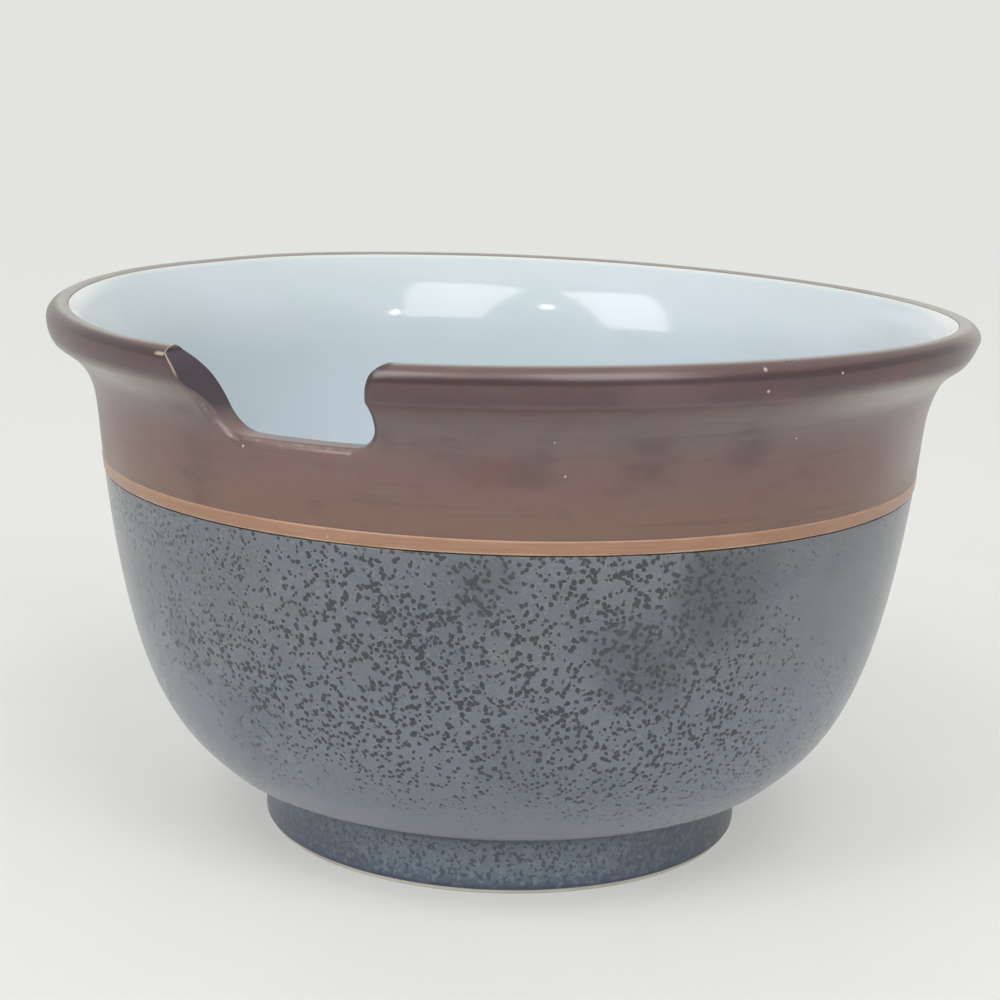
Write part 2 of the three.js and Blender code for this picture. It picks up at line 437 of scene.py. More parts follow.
def wave(turn, height):
    """Lift of the rim, in mm, at an angle from the front and a height."""
    saddle = WAVE_SADDLE * cos(2 * turn) + WAVE_TWIST * sin(2 * turn)
    tilt = WAVE_FRONT * cos(turn) + WAVE_RIGHT * sin(turn)
    left = LEFT_RISE * ease(*LEFT_SHARES, sin(turn))
    back = BACK_DROP * ease(*BACK_SHARES, BACK_RIGHT * sin(turn) - BACK_BEHIND * cos(turn))
    lift = (saddle + tilt + left - back - WAVE_DROP) * ease(WAVE_FROM, BOWL_HEIGHT, height)
    thin = THIN_RISE * ease(*THIN_SHARES, sin(turn)) * ease(*THIN_BELOW, height) * ease(*THIN_ABOVE, height)
    return lift + thin


class Column:
    """One column of the lip: its angle from the notch at the rim, and the height where it is cut off."""

    def __init__(self, turn, top, in_notch):
        self.turn = turn if turn < pi else turn - 2 * pi
        self.top = top
        self.in_notch = in_notch
        self.sideways = RIM_RADIUS * sin(turn) if cos(turn) > 0 else FAR

    def turn_at(self, radius):
        """Its angle at a radius: straight through the wall near the notch, towards the axis elsewhere."""
        away = ease(STRAIGHT_TO, RADIAL_FROM, abs(self.sideways))
        if away == 1:
            return self.turn
        skew = LEFT_SKEW * ease(SKEW_FROM, SKEW_FULL, -self.sideways)
        straight = asin((self.sideways + skew * (RIM_RADIUS - radius)) / radius)
        return straight + (self.turn - straight) * away


columns = [Column(asin(p.x / RIM_RADIUS), p.y, True) for p in notch_points]
lip_start = columns[-1].turn
lip_span = 2 * pi + columns[0].turn - lip_start
lip_count = round(lip_span * RIM_RADIUS / LIP_STEP)
for i in range(1, lip_count):
    share = i / lip_count
    share -= CLOSING / (2 * pi) * sin(2 * pi * share)
    columns.append(Column(lip_start + lip_span * share, BOWL_HEIGHT, False))
print(f"{len(columns)} columns round the lip")

# %% [markdown]
# ## Sheets that follow the columns
#
# The outer skin and the inner skin are both read off the section. A column in the notch is cut off at its
# own height: all rows above that fall on one point and are merged. Near the notch the outer skin sinks in
# a quarter circle, which is the sponged edge. Each vertex also keeps two numbers for the finishes: its
# distance from the edge, below zero on the lip's top and the notch's face, and how much it belongs to
# the notch.

# %% Helpers for the lip sheets
ROUND_EDGE = 1.5
SLIVER = 0.12
EDGE_REACH = 32
SHARP_LEFT = (79.5, 85)
SHARP_RIGHT = (83, 87)
SPONGE_FADE = (86, 88.5)
NOTCH_FADE = (87.6, 88.7)


def inner_radius(height):
    """Inner radius of the wall at a height between its waist and the top of the lip."""
    for high, low in zip(INNER_TOP_LINE, INNER_TOP_LINE[1:]):
        if low.y <= height <= high.y and high.y > low.y:
            return low.x + (high.x - low.x) * (height - low.y) / (high.y - low.y)
    return INNER_TOP_LINE[0].x if height > waist[1] else INNER_TOP_LINE[-1].x


def edge_distance(c, height):
    """Distance of a point of a column from the notch's line."""
    if abs(c.sideways) > EDGE_REACH:
        return FAR
    best = FAR
    for a, b in zip(notch_points, notch_points[1:]):
        along = b - a
        here = Vector((c.sideways, height)) - a
        t = min(max(here.dot(along) / along.length_squared, 0), 1)
        best = min(best, (along * t - here).length)
    return best


def sunk(c, distance, height):
    """Depth of the sponged edge at a distance from the notch. High on the left side it stayed sharp."""
    if distance >= ROUND_EDGE:
        return 0
    full = ROUND_EDGE - sqrt(ROUND_EDGE ** 2 - (ROUND_EDGE - distance) ** 2)
    sharp = 0.85 * ease(*SHARP_LEFT, height) if c.sideways < 0 else 0.5 * ease(*SHARP_RIGHT, height)
    return full * (1 - sharp) * (1 - ease(*SPONGE_FADE, height))


def place(c, radius, height):
    """A point of the bowl on a column, in metres."""
    turn = c.turn_at(max(radius, inner_waist[0])) + NOTCH_TURN
    lifted = height + wave(turn, height)
    return Vector((radius * sin(turn), -radius * cos(turn), lifted)) * MM


def wrap_sheet(name, rows_of):
    """A grid with a column of vertices for each column of the lip, each at its place."""
    rows = [rows_of(c) for c in columns]
    bpy.ops.object.select_all(action="DESELECT")
    bpy.ops.mesh.primitive_grid_add(x_subdivisions=len(columns), y_subdivisions=len(rows[0]) - 1, size=2)
    piece = bpy.context.object
    piece.name = piece.data.name = name
    edge = piece.data.attributes.new("edge", "FLOAT", "POINT")
    notch = piece.data.attributes.new("notch", "FLOAT", "POINT")
    for v in piece.data.vertices:
        row, column = divmod(v.index, len(columns) + 1)
        c = columns[column % len(columns)]
        v.co, edge.data[v.index].value = rows[column % len(columns)][row]
        notch.data[v.index].value = 1 - ease(*NOTCH_FADE, c.top) if c.in_notch else 0
    bpy.ops.object.mode_set(mode="EDIT")
    bpy.ops.mesh.select_all(action="SELECT")
    bpy.ops.mesh.remove_doubles(threshold=MERGE)
    bpy.ops.object.mode_set(mode="OBJECT")
    return piece


# %% [markdown]
# ## Rim glaze
#
# The brown coat starts at the band, climbs the flare, goes over the lip or across the notch's face, and
# ends at the inner edge, a quarter of a millimetre lower in the notch. Its rows run in that order, so the
# sheet faces out. Each row across the face has its own number below zero, down to the lap.

# %% Rim glaze
FACE_ROWS = [0.05, 0.15, 0.3, 0.45, 0.6, 0.75, 0.87, 0.95, 1]
FACE_STEP = 0.05
FACE_EDGE = -4.5
LAP_EDGE = -4.8
LAP = 0.25
LAP_GAP = 0.05
LAP_FADE = (86, 88.4)
WAIST_HEIGHTS = (BAND_HIGH + 0.04, 64.5, 65.6, 66.7, 67.8, 68.9, 70)
FINE_FROM = 71
FINE_STEP = 0.42
outer_points = [Vector((wall_radius(z), z)) for z in WAIST_HEIGHTS]
outer_points += resample([p for p in OUTER_LINE if p.y > FINE_FROM], FINE_STEP)


def outer_rows(c):
    """Points of a column of the outer skin, from the band up to the edge."""
    rows = []
    for p in outer_points:
        if p.y > c.top - SLIVER and c.in_notch:
            p = Vector((wall_radius(c.top), c.top))
        distance = edge_distance(c, p.y)
        rows.append((place(c, p.x - sunk(c, distance, p.y), p.y), distance))
    return rows


def lap_height(c):
    """Height at which the brown coat ends on the inside: lower in the notch, and a lap's width beside it."""
    top = min(n.top for n in columns if abs(n.sideways - c.sideways) < LAP)
    return min(top, glaze_line[1]) - LAP_GAP - (LAP - LAP_GAP) * (1 - ease(*LAP_FADE, top))


def face_rows(c):
    """Points from the outer edge across the lip, or across the notch's face, to the inner edge."""
    sponged = sunk(c, 0, c.top) if c.in_notch else 0
    line = [Vector((wall_radius(c.top) - sponged, c.top)), Vector((inner_radius(c.top), c.top))]
    if c.top > glaze_line[1]:
        line += [p for p in inner_lip_line if p.y < c.top - 0.001]
    line = resample(line, FACE_STEP)
    rows = []
    for share in FACE_ROWS:
        p = line[round(share * (len(line) - 1))]
        rows.append((place(c, p.x, p.y), share * FACE_EDGE))
    low = lap_height(c)
    return rows + [(place(c, inner_radius(low), low), LAP_EDGE)]


rim_glaze = wrap_sheet("rim_glaze_coat", lambda c: outer_rows(c) + face_rows(c))
thicken(rim_glaze, SKIN, even=False)
finish(rim_glaze, "rim_glaze")

# %% [markdown]
# ## Inner glaze
#
# The pale glaze starts just below the lap and runs down to the middle of the floor, where all columns
# meet in one point. Its rows run downwards, so this sheet faces the inside of the bowl.

# %% Inner glaze
THROAT_STEP = 0.5
INSIDE_STEP = 2.4
DEEP_EDGE = 24
inner_start = glaze_line[1] - 2 * LAP_GAP
throat_start = [Vector((inner_radius(inner_start), inner_start))]
throat_points = resample(throat_start + [p for p in throat_line if p.y < inner_start - 0.01], THROAT_STEP)
inside_points = resample(inside_line, INSIDE_STEP)[1:]


def inner_rows(c):
    """Points of a column of the inner skin, from the lap down to the middle of the floor."""
    rows = []
    start = lap_height(c) - LAP_GAP
    for p in throat_points:
        if p.y > start - SLIVER and c.in_notch:
            p = Vector((inner_radius(start), start))
        rows.append((place(c, p.x, p.y), min(edge_distance(c, p.y), glaze_line[1] - p.y)))
    return rows + [(place(c, p.x, p.y), DEEP_EDGE) for p in inside_points]


inner_glaze = wrap_sheet("inner_glaze_coat", inner_rows)
thicken(inner_glaze, SKIN, even=False)
finish(inner_glaze, "inner_glaze")

# %% [markdown]
# ## Clay body
#
# The body fills the space between the coats. None of it shows, but a bowl that is cut or chipped later
# should have clay in it. It is the same kind of sheet, kept a millimetre inside the coats, and it runs
# from the middle of the underside, up the outside, across the edge and down to the middle of the floor.

# %% Clay body
CORE = 1.0
BELLY_CORE = 0.8
INNER_CORE = 0.9
CORE_BOTTOM = RING_TOP + 0.1


def moved_in(line, distance):
    """A line of the section moved to its left by a distance."""
    result = []
    for i, p in enumerate(line):
        along = (line[min(i + 1, len(line) - 1)] - line[max(i - 1, 0)]).normalized()
        result.append(p + Vector((-along.y, along.x)) * distance)
    return result


def core_top(c):
    """Height of the clay under a column, a millimetre clear of the notch on every side."""
    top = BOWL_HEIGHT - CORE
    for p in notch_points:
        gap = abs(p.x - c.sideways)
        if gap < CORE:
            top = min(top, p.y - sqrt(CORE ** 2 - gap ** 2))
    return top


core_under = [Vector((0, CORE_BOTTOM)), Vector((RING_INNER - 4, CORE_BOTTOM)),
              Vector((RING_OUTER - 1, CORE_BOTTOM)), Vector((RING_OUTER - 1, FOOT_HEIGHT + 0.6))]
core_belly = moved_in(belly_line, BELLY_CORE)[::4]
core_belly = [p for p in core_belly if p.x > RING_OUTER + 1 and p.y < BAND_HIGH - 1]
core_heights = [67, 70, 72.5, 75, 77.5, 80, 82.5, 85, 87.8]
core_outer = [Vector((wall_radius(z) - CORE, z)) for z in [BAND_HIGH] + core_heights]
core_inner = [Vector((inner_radius(z) + INNER_CORE, z)) for z in core_heights[::-1]]
core_inside = moved_in(inside_points, CORE)[::3] + [Vector((0, FLOOR_HEIGHT - CORE))]


def core_rows(c):
    """Points of a column of the clay body, all the way round its section."""
    top = core_top(c)
    outer = [p if p.y < top else Vector((wall_radius(top) - CORE, top)) for p in core_outer]
    inner = [p if p.y < top else Vector((inner_radius(top) + INNER_CORE, top)) for p in core_inner]
    section = core_under + core_belly + outer + inner + core_inside
    return [(place(c, p.x, p.y), 0) for p in section]


clay_body = wrap_sheet("clay_body_core", core_rows)
finish(clay_body, "clay_body")

# %% [markdown]
# ## Finishes as expressions
#
# Every glaze is a small graph of nodes: where a point lies, some noise, a few colours, and what the
# shader makes of them. Drawing that by hand takes many clicks, so one class wraps a socket. Adding or
# multiplying two wrapped sockets adds a Math node, and any other node comes from one method. All finishes
# read Object coordinates, turned into millimetres so that each size can be read off the bowl.


# %% Sockets in expressions
class Wire:
    """A socket of a node tree that can stand in a Python expression."""

    def __init__(self, tree, socket=None):
        self.tree = tree
        self.socket = socket

    def add(self, kind, settings=None, inputs=None, output=0):
        """A new node: its settings first, then the values or links of its sockets."""
        node = self.tree.nodes.new(kind)
        for name, value in (settings or {}).items():
            setattr(node, name, value)
        for name, value in (inputs or {}).items():
            if isinstance(value, Wire):
                self.tree.links.new(value.socket, node.inputs[name])
            else:
                node.inputs[name].default_value = value
        return Wire(self.tree, node.outputs[output])

    def also(self, output):
        """Another output of the node that this socket belongs to."""
        return Wire(self.tree, self.socket.node.outputs[output])

    def math(self, operation, first, second):
        return self.add("ShaderNodeMath", {"operation": operation}, {0: first, 1: second})

    def __add__(self, other):
        return self.math("ADD", self, other)

    def __radd__(self, other):
        return self.math("ADD", other, self)

    def __sub__(self, other):
        return self.math("SUBTRACT", self, other)

    def __rsub__(self, other):
        return self.math("SUBTRACT", other, self)

    def __mul__(self, other):
        return self.math("MULTIPLY", self, other)

    def __truediv__(self, other):
        return self.math("DIVIDE", self, other)

    def __lt__(self, other):
        return self.math("LESS_THAN", self, other)

    def most(self, other):
        return self.math("MAXIMUM", self, other)

    def step(self, low, high):
        """A smooth step from 0 at low to 1 at high; low may be the larger."""
        return self.add("ShaderNodeMapRange", {"interpolation_type": "SMOOTHSTEP"},
                        {"Value": self, "From Min": low, "From Max": high})

    def part(self, name):
        return self.add("ShaderNodeSeparateXYZ", None, {0: self}, name)

    def stretched(self, x, y, z):
        return self.add("ShaderNodeVectorMath", {"operation": "MULTIPLY"}, {0: self, 1: (x, y, z)})

    def moved(self, x, y, z):
        return self.add("ShaderNodeVectorMath", {"operation": "ADD"}, {0: self, 1: (x, y, z)})

    def distance(self, point):
        return self.add("ShaderNodeVectorMath", {"operation": "DISTANCE"}, {0: self, 1: point}, "Value")

    def along(self, direction):
        settings = {"operation": "DOT_PRODUCT"}
        return self.add("ShaderNodeVectorMath", settings, {0: self, 1: direction}, "Value")

    def noise(self, size, detail=2.0, roughness=0.5):
        """Soft random values from 0 to 1 whose patches are about size millimetres wide."""
        return self.add("ShaderNodeTexNoise", None,
                        {"Vector": self, "Scale": 1 / size, "Detail": detail, "Roughness": roughness})

    def cells(self, size):
        """Distance to the nearest of points that lie about size apart, in units of size."""
        return self.add("ShaderNodeTexVoronoi", None, {"Vector": self, "Scale": 1 / size})

    def blend(self, first, second):
        """A colour between two, with this value as the share of the second."""
        return self.add("ShaderNodeMix", {"data_type": "RGBA"}, {0: self, 6: first, 7: second}, 2)

    def tinted(self, share, red, green, blue):
        """This colour with a share of another one over it, which is given as in tone."""
        return share.blend(self, tone(red, green, blue))

    def stored(self, name):
        """A number that the vertices keep."""
        return self.add("ShaderNodeAttribute", {"attribute_name": name}, output="Fac")


def tone(red, green, blue):
    """A colour given as it looks on a screen, from 0 to 255, for a colour socket."""
    linear = []
    for value in (red / 255, green / 255, blue / 255):
        linear.append(value / 12.92 if value <= 0.04045 else ((value + 0.055) / 1.055) ** 2.4)
    return (*linear, 1)


def start_finish(name):
    """A new material, the place of a surface point in millimetres, and the shader."""
    material = bpy.data.materials.new(name)
    material.use_nodes = True
    tree = material.node_tree
    metres = Wire(tree).add("ShaderNodeTexCoord", output="Object")
    return material, metres.stretched(1 / MM, 1 / MM, 1 / MM), tree.nodes["Principled BSDF"]


def feed(shader, **sources):
    """Links sources to the shader's sockets, or sets those that are plain values."""
    for name, source in sources.items():
        socket = shader.inputs[name.replace("_", " ")]
        if isinstance(source, Wire):
            source.tree.links.new(source.socket, socket)
        else:
            socket.default_value = source


def bump(height, depth):
    """A normal that reads a height from 0 to 1 as a relief of depth millimetres."""
    return height.add("ShaderNodeBump", None, {"Strength": 1, "Distance": depth * MM, "Height": height})


def wall_point(turn, height):
    """A point of the outer wall, in mm, given by its angle from the front in degrees and its height."""
    radius = wall_radius(height)
    return (radius * sin(radians(turn)), -radius * cos(radians(turn)), height)


def patch(where, turn, height, reach):
    """A soft ragged patch round a point of the wall, from 0 to 1."""
    ragged = where.distance(wall_point(turn, height)) + where.noise(9, 3) * reach * 1.2 - reach * 0.6
    return ragged.step(reach * 1.25, reach * 0.2)


def flecks(where, apart, reach, core, share):
    """Small round flecks at a share of random points; the core of their reach is full."""
    points = where.cells(apart)
    return (points / reach).step(1, core) * (points.also("Color").part("X") < share)


def coat_with(material, *pieces):
    for piece in pieces:
        piece.data.materials.clear()
        piece.data.materials.append(material)
    print(f"{material.name}: {len(material.node_tree.nodes)} nodes on {', '.join(p.name for p in pieces)}")


# %% [markdown]
# ## Brown satin glaze
#
# The glaze on the flare is purple-brown, warmer towards the band, and half matt. Handling has left darker
# smudges and fingered streaks, and the wheel has left faint level lines.
#
# Tones on the lip have to follow the lip, which isn't flat. So the wave is taken off a point's height
# first. What is left is its level: the height that the point had before the rim was lifted.

# %% Places on the brown glaze
brown_glaze, where, shader = start_finish("brown_satin_glaze")
height = where.part("Z")
radius = where.stretched(1, 1, 0).distance((0, 0, 0))
right_share = where.part("X") / radius
front_share = where.part("Y") / radius * -1
saddle = (front_share * front_share - right_share * right_share) * WAVE_SADDLE
twist = right_share * front_share * (2 * WAVE_TWIST)
tilt = front_share * WAVE_FRONT + right_share * WAVE_RIGHT
left_rise = right_share.step(*LEFT_SHARES) * LEFT_RISE
back_drop = (right_share * BACK_RIGHT - front_share * BACK_BEHIND).step(*BACK_SHARES) * BACK_DROP
lift = saddle + twist + tilt + left_rise - back_drop - WAVE_DROP
level = height - lift * height.step(WAVE_FROM, BOWL_HEIGHT)
edge = where.stored("edge")
notch = where.stored("notch")
print("brown glaze: height, level, radius, edge and notch of a point")

# %% Ground and smudges of the brown glaze
smudges = where.moved(3, 7, 11).stretched(1, 1, 1.7).noise(13, 4, 0.55)
rubbing = where.stretched(0.5, 0.5, 1).noise(3.2, 3, 0.6)
lines = where.stretched(0.02, 0.02, 1).noise(0.8, 2, 0.6)
grain = where.noise(0.5, 2)
SMUDGE = (72, 52, 53)

colour = (height + smudges * 6 - 3).step(64, 72).blend(tone(119, 88, 75), tone(119, 88, 84))
# Higher up the flare the tone turns greyer: partly the glaze's own colour, partly painted sheen.
colour = colour.tinted((height + smudges * 4 - 2).step(72, 79), 118, 100, 99)
side = (right_share * right_share).step(0.25, 0.65)
bead = (level - side * 0.5).step(82, 84.2)
colour = colour.tinted(bead, 80, 54, 60)
colour = colour.tinted(smudges.step(0.52, 0.74) * 0.5, *SMUDGE)
colour = colour.tinted(smudges.step(0.45, 0.28) * (0.4 - bead * 0.3), 112, 98, 94)
colour = colour.tinted(where.noise(7, 3).step(0.58, 0.74) * 0.35, 118, 68, 60)
colour = colour.tinted(rubbing.step(0.55, 0.75) * 0.2, 76, 56, 56)
colour = colour.tinted(lines.step(0.56, 0.7) * 0.2, 68, 51, 50)
colour = colour.tinted(grain * 0.25, 104, 84, 80)
dark = patch(where, 16, 75.7, 6).most(patch(where, 29, 76.5, 5)).most(patch(where, -43, 68.4, 5))
colour = colour.tinted(dark * (0.15 + rubbing.step(0.4, 0.6) * 0.3), *SMUDGE)
colour = colour.tinted(patch(where, -2, 72.5, 4) * rubbing.step(0.35, 0.6) * 0.3, 122, 64, 56)
colour = colour.tinted(patch(where, 15, 84.5, 7) * 0.4, 116, 92, 92)
print("brown glaze: ground and smudges")

# %% [markdown]
# ## Brown glaze on the lip
#
# On the lip the glaze is darker. Just under the crest runs a dark line of painted shade, which climbs
# nearer to the crest on both sides. The inner edge is pale, partly because the glaze drew back from the
# crest and partly as a painted reflection. Painted sheen lightens the left of the crest, the right end of
# the bead and, on both sides, the flare under the bead.

# %% Lip of the brown glaze
near = where.distance(wall_point(-25, 80)).step(34, 30)
across = where.along((cos(NOTCH_TURN), sin(NOTCH_TURN), 0)) - (RIM_RADIUS - radius) * LEFT_SKEW
on_lip = height.step(85.4, 86.4) * (1 - notch * near)
# Painted shade: a dark line just under the crest, nearer to the crest on the sides and at the left.
crest = level - side * 0.65 - right_share.step(-0.45, -0.7) * 0.4
crest_shade = crest.step(86.1, 86.6) * crest.step(87.8, 87.1) * (0.7 + side * 0.25)
colour = colour.tinted(crest_shade, 52, 28, 30)
colour = colour.tinted(crest.step(87.2, 87.9) * on_lip * 0.4, 104, 80, 75)
# Painted sheen: pale on the left of the crest, on the right end of the bead, and on the flare under the bead
# on both sides.
left_sheen = right_share.step(-0.8, -0.98) * level.step(87, 87.8) * on_lip
colour = colour.tinted(left_sheen * 0.2, 160, 154, 150)
colour = colour.tinted(right_share.step(0.86, 0.98) * bead * 0.6, 172, 164, 160)
root_sheen = side * level.step(85, 83.4) * level.step(78, 81) * (0.25 + right_share.step(0, 0.6) * 0.2)
flare_sheen = right_share.step(0.78, 0.95) * height.step(62, 70) * level.step(84, 80) * 0.22
colour = colour.tinted(root_sheen.most(flare_sheen), 196, 190, 186)
# The pale inner edge is partly thin glaze and partly a painted reflection.
colour = colour.tinted(radius.step(74.8, 73.9) * on_lip * 0.64, 173, 167, 161)
print("brown glaze: lip")

# %% [markdown]
# ## Brown glaze in the notch
#
# The left face of the notch gets little light, and its dark is painted shade. Its edges are lined: dark
# along the inner edge and along the steep right side, painted shade at the front of the floor, tan where
# the glaze has worn off the sharp left edge and the clay shines through, and worn tan with painted glints
# along the low outer edge. The lines follow the edge distance that each vertex keeps.

# %% Notch of the brown glaze
LIP_END = notch_points[0].x
left = across.step(-10, -14) * near
# Painted shade: the left face of the notch is painted dark.
left_face_shade = edge.step(-0.1, -0.35) * across.step(LIP_END - 0.02, LIP_END + 0.03) * left
colour = colour.tinted(left_face_shade * 0.9 * height.step(75.5, 80), 46, 28, 46)
inner_line = edge.step(-4.2, -4.5) * notch * near
colour = colour.tinted(inner_line * 0.85, 40, 30, 36)
fillet_shade = edge.step(1.7, 1) * edge.step(0, 0.2) * across.step(-15.5, -13) * across.step(-8, -11) * near
colour = colour.tinted(fillet_shade * 0.4, 78, 58, 58)
right_line = edge.step(1.1, 0.65) * across.step(9.5, 10.5) * near
# Painted shade: a dark line at the front of the notch's floor.
floor_shade_line = edge.step(0.2, 0.08) * edge.step(-0.5, -0.25)
floor_shade_line = floor_shade_line * across.step(-12, -10) * across.step(10, 9) * near
colour = colour.tinted((right_line * 0.75).most(floor_shade_line * 0.5), 52, 35, 39)
left_edge = edge.step(0.18, 0.08) * edge.step(-0.2, -0.1) * height.step(83.4, 84.6) * left
lip_cut = across.step(LIP_END - 0.32, LIP_END - 0.24) * across.step(LIP_END + 0.01, LIP_END - 0.05) * near
lip_cut = lip_cut * edge.step(0.2, 0) * height.step(86, 87.5)
junction = across.step(LIP_END - 2.2, LIP_END - 1.4) * across.step(LIP_END + 0.1, LIP_END - 0.2) * near
junction = junction * level.step(87.3, 87.55) * level.step(88, 87.75)
# Along the low outer edge the tan is wear with painted glints.
low_edge_wear_and_glint = edge.step(0.9, 0.5) * edge.step(0, 0.3) * notch * near * height.step(83, 80)
low_edge_wear_and_glint = low_edge_wear_and_glint * where.noise(1.2, 3).step(0.52, 0.68)
wear_and_glint = left_edge.most(lip_cut).most(junction).most(low_edge_wear_and_glint * 0.35) * (0.5 + where.noise(0.8, 2) * 0.7)
colour = colour.tinted(wear_and_glint, 182, 158, 146)
print("brown glaze: notch")

# %% [markdown]
# ## Chips, and the gloss of the brown glaze
#
# A chip on the crest and a few white grains lie at their own places, the last of them a painted glint below
# the left of the notch, and finer grains are strewn by chance. The gloss is uneven, duller where the glaze
# was handled. The relief is very low, because a satin glaze with a high one sparkles.

# %% Chips and gloss of the brown glaze
chip = where.distance(wall_point(27.1, 88.2)).step(0.6, 0.35)
# The last white grain, below the left of the notch, is a painted glint.
white_grains_and_glint = [(27.5, 85.4, 0.3), (37.2, 87.2, 0.25), (5, 77.9, 0.2), (6.5, 72.9, 0.2), (12.3, 80, 0.15),
                (-33.5, 73.8, 0.24)]
for turn, rise, size in white_grains_and_glint:
    chip = chip.most(where.distance(wall_point(turn, rise)).step(size, size * 0.6))
white = flecks(where, apart=5, reach=0.04, core=0.5, share=0.14)
colour = colour.tinted(chip.most(white) * 0.8, 222, 210, 200)

roughness = 0.22 + smudges * 0.14 + grain * 0.04
relief = lines * 0.5 + where.noise(1.4, 3) * 0.6 + wear_and_glint * 0.6
feed(shader, Base_Color=colour, Roughness=roughness, Normal=bump(relief, 0.012), IOR=1.65)
coat_with(brown_glaze, rim_glaze)

# %% [markdown]
# ## Pale blue gloss glaze
#
# The inside is a clear, glassy blue. Where the glaze draws back from the sharp inner edge it is thin and
# almost white, which gives the fine pale line under the lip. At the left and the right end a painted
# reflection widens it into a white glow. Slow waves in the surface soften the shape of the mirrored lamps.

# %% Pale blue gloss glaze
blue_glaze, where, shader = start_finish("pale_blue_gloss_glaze")
edge = where.stored("edge")
drift = where.noise(26, 2)
colour = drift.step(0.35, 0.65).blend(tone(200, 211, 216), tone(204, 213, 221))
colour = colour.tinted(edge.step(9, 1) * 0.5, 196, 206, 212)
colour = colour.tinted(edge.step(0.9, 0.3), 214, 218, 218)
# Painted reflection: a white glow widens the pale line at the left and the right end.
aside = where.part("X") / where.stretched(1, 1, 0).distance((0, 0, 0))
ends = (aside * aside).step(0.45, 0.8) * where.part("Y").step(25, -5)
colour = colour.tinted(ends * edge.step(2.4, 0.6) * 0.8, 240, 243, 243)
pit = flecks(where, apart=7, reach=0.03, core=0.4, share=0.12)
colour = colour.tinted(pit * 0.5, 150, 160, 165)
relief = where.noise(11, 1) + pit * -0.4
feed(shader, Base_Color=colour, Roughness=0.08 + drift * 0.05, Normal=bump(relief, 0.04), IOR=1.5)
coat_with(blue_glaze, inner_glaze)

# %% [markdown]
# ## Tan slip
#
# The band was brushed on with the bowl turning, so its streaks run along it. It is lighter at its upper
# edge, and its rounded lower edge carries a painted highlight.

# %% Tan slip
tan_slip, where, shader = start_finish("tan_slip")
height = where.part("Z")
brushed = where.stretched(0.05, 0.05, 1).noise(0.35, 3, 0.6)
patches = where.noise(6, 3)
colour = (brushed * 0.7 + patches * 0.3).step(0.35, 0.65).blend(tone(154, 114, 90), tone(168, 125, 99))
colour = colour.tinted((height + patches * 0.5).step(BAND_HIGH - 0.1, BAND_HIGH + 0.3), 190, 150, 124)
# Painted highlight on the band's rounded lower edge.
colour = colour.tinted((height - patches * 0.4).step(BAND_LOW + 0.1, BAND_LOW - 0.2), 206, 180, 156)
chip = flecks(where, apart=9, reach=0.06, core=0.5, share=0.2)
colour = colour.tinted(chip * 0.8, 222, 202, 184)
relief = bump(brushed + patches, 0.03)
feed(shader, Base_Color=colour, Roughness=0.24 + brushed * 0.12, Normal=relief, IOR=1.6)
coat_with(tan_slip, band)

# %% [markdown]
# ## Speckled slate glaze
#
# The belly's glaze is blue-grey and full of small dark spots, where metal in the clay came through in the
# firing. Lone spots are half a millimetre wide. Most have run together into little worms and blots, and
# each has a faint pale rim. They come from one pattern: dots round random points, of which chance leaves
# some out, bent by a fine noise. Larger clouds of smoke-blue darken the ground until the spots drown in
# it, and near the foot and at the right the spots are small and few.

# %% Regions of the slate glaze
slate_glaze, where, shader = start_finish("speckled_slate_glaze")
height = where.part("Z")
drift = where.noise(24, 3)
crowd = where.noise(7, 2)
clouds = patch(where, 28, 54, 12).most(patch(where, 19, 45, 10) * 0.85).most(patch(where, -3, 57, 7) * 0.5)
clouds = clouds.most(patch(where, 2, 29, 8) * 0.3)
clouds = clouds.most(drift.step(0.55, 0.75) * height.step(15, 27) * 0.6)
blue = (patch(where, -29, 28, 9) * 0.8).most(where.moved(40, 0, 9).noise(15, 2).step(0.52, 0.7) * 0.6)
rich = patch(where, -10, 44, 34).most(where.noise(48, 1).step(0.48, 0.62))
plain = patch(where, 58, 42, 34).most(patch(where, -72, 40, 20)).most(patch(where, -49, 27, 16) * 0.9)
plain = plain.most(where.moved(0, 60, 20).noise(40, 1).step(0.55, 0.66) * where.part("Y").step(-30, 5))
print("slate glaze: clouds, blue, rich and plain regions")

# %% Spots of the slate glaze
jitter = where.add("ShaderNodeTexNoise", None, {"Vector": where, "Scale": 1.1}, "Color")
tilted = where.add("ShaderNodeVectorRotate", {"rotation_type": "EULER_XYZ"},
                   {"Vector": where, "Rotation": (0.5, 0.35, 0.8)})
bent = where.add("ShaderNodeVectorMath", {"operation": "MULTIPLY_ADD"},
                 {0: jitter, 1: (0.6, 0.6, 0.6), 2: tilted})
dots = bent.cells(0.76)
lot = dots.also("Color")
bare = (height + crowd * 8 - 4).step(21, 13.5)
present = lot.part("X") < (0.15 + crowd * 0.6 + rich * 0.14 - clouds * 0.1 - plain * 0.3 - bare * 0.45)
size = 0.295 + lot.part("Y") * 0.2 + rich * 0.19 - plain * 0.22 - height.step(34, 15) * 0.2 - bare * 0.12
spots = (size - dots).step(-0.05, 0.06) * present * size.step(0.04, 0.14)
halos = (size - dots).step(-0.34, -0.03) * present * size.step(0.2, 0.4) * (1 - bare)
print("slate glaze: spots and halos")

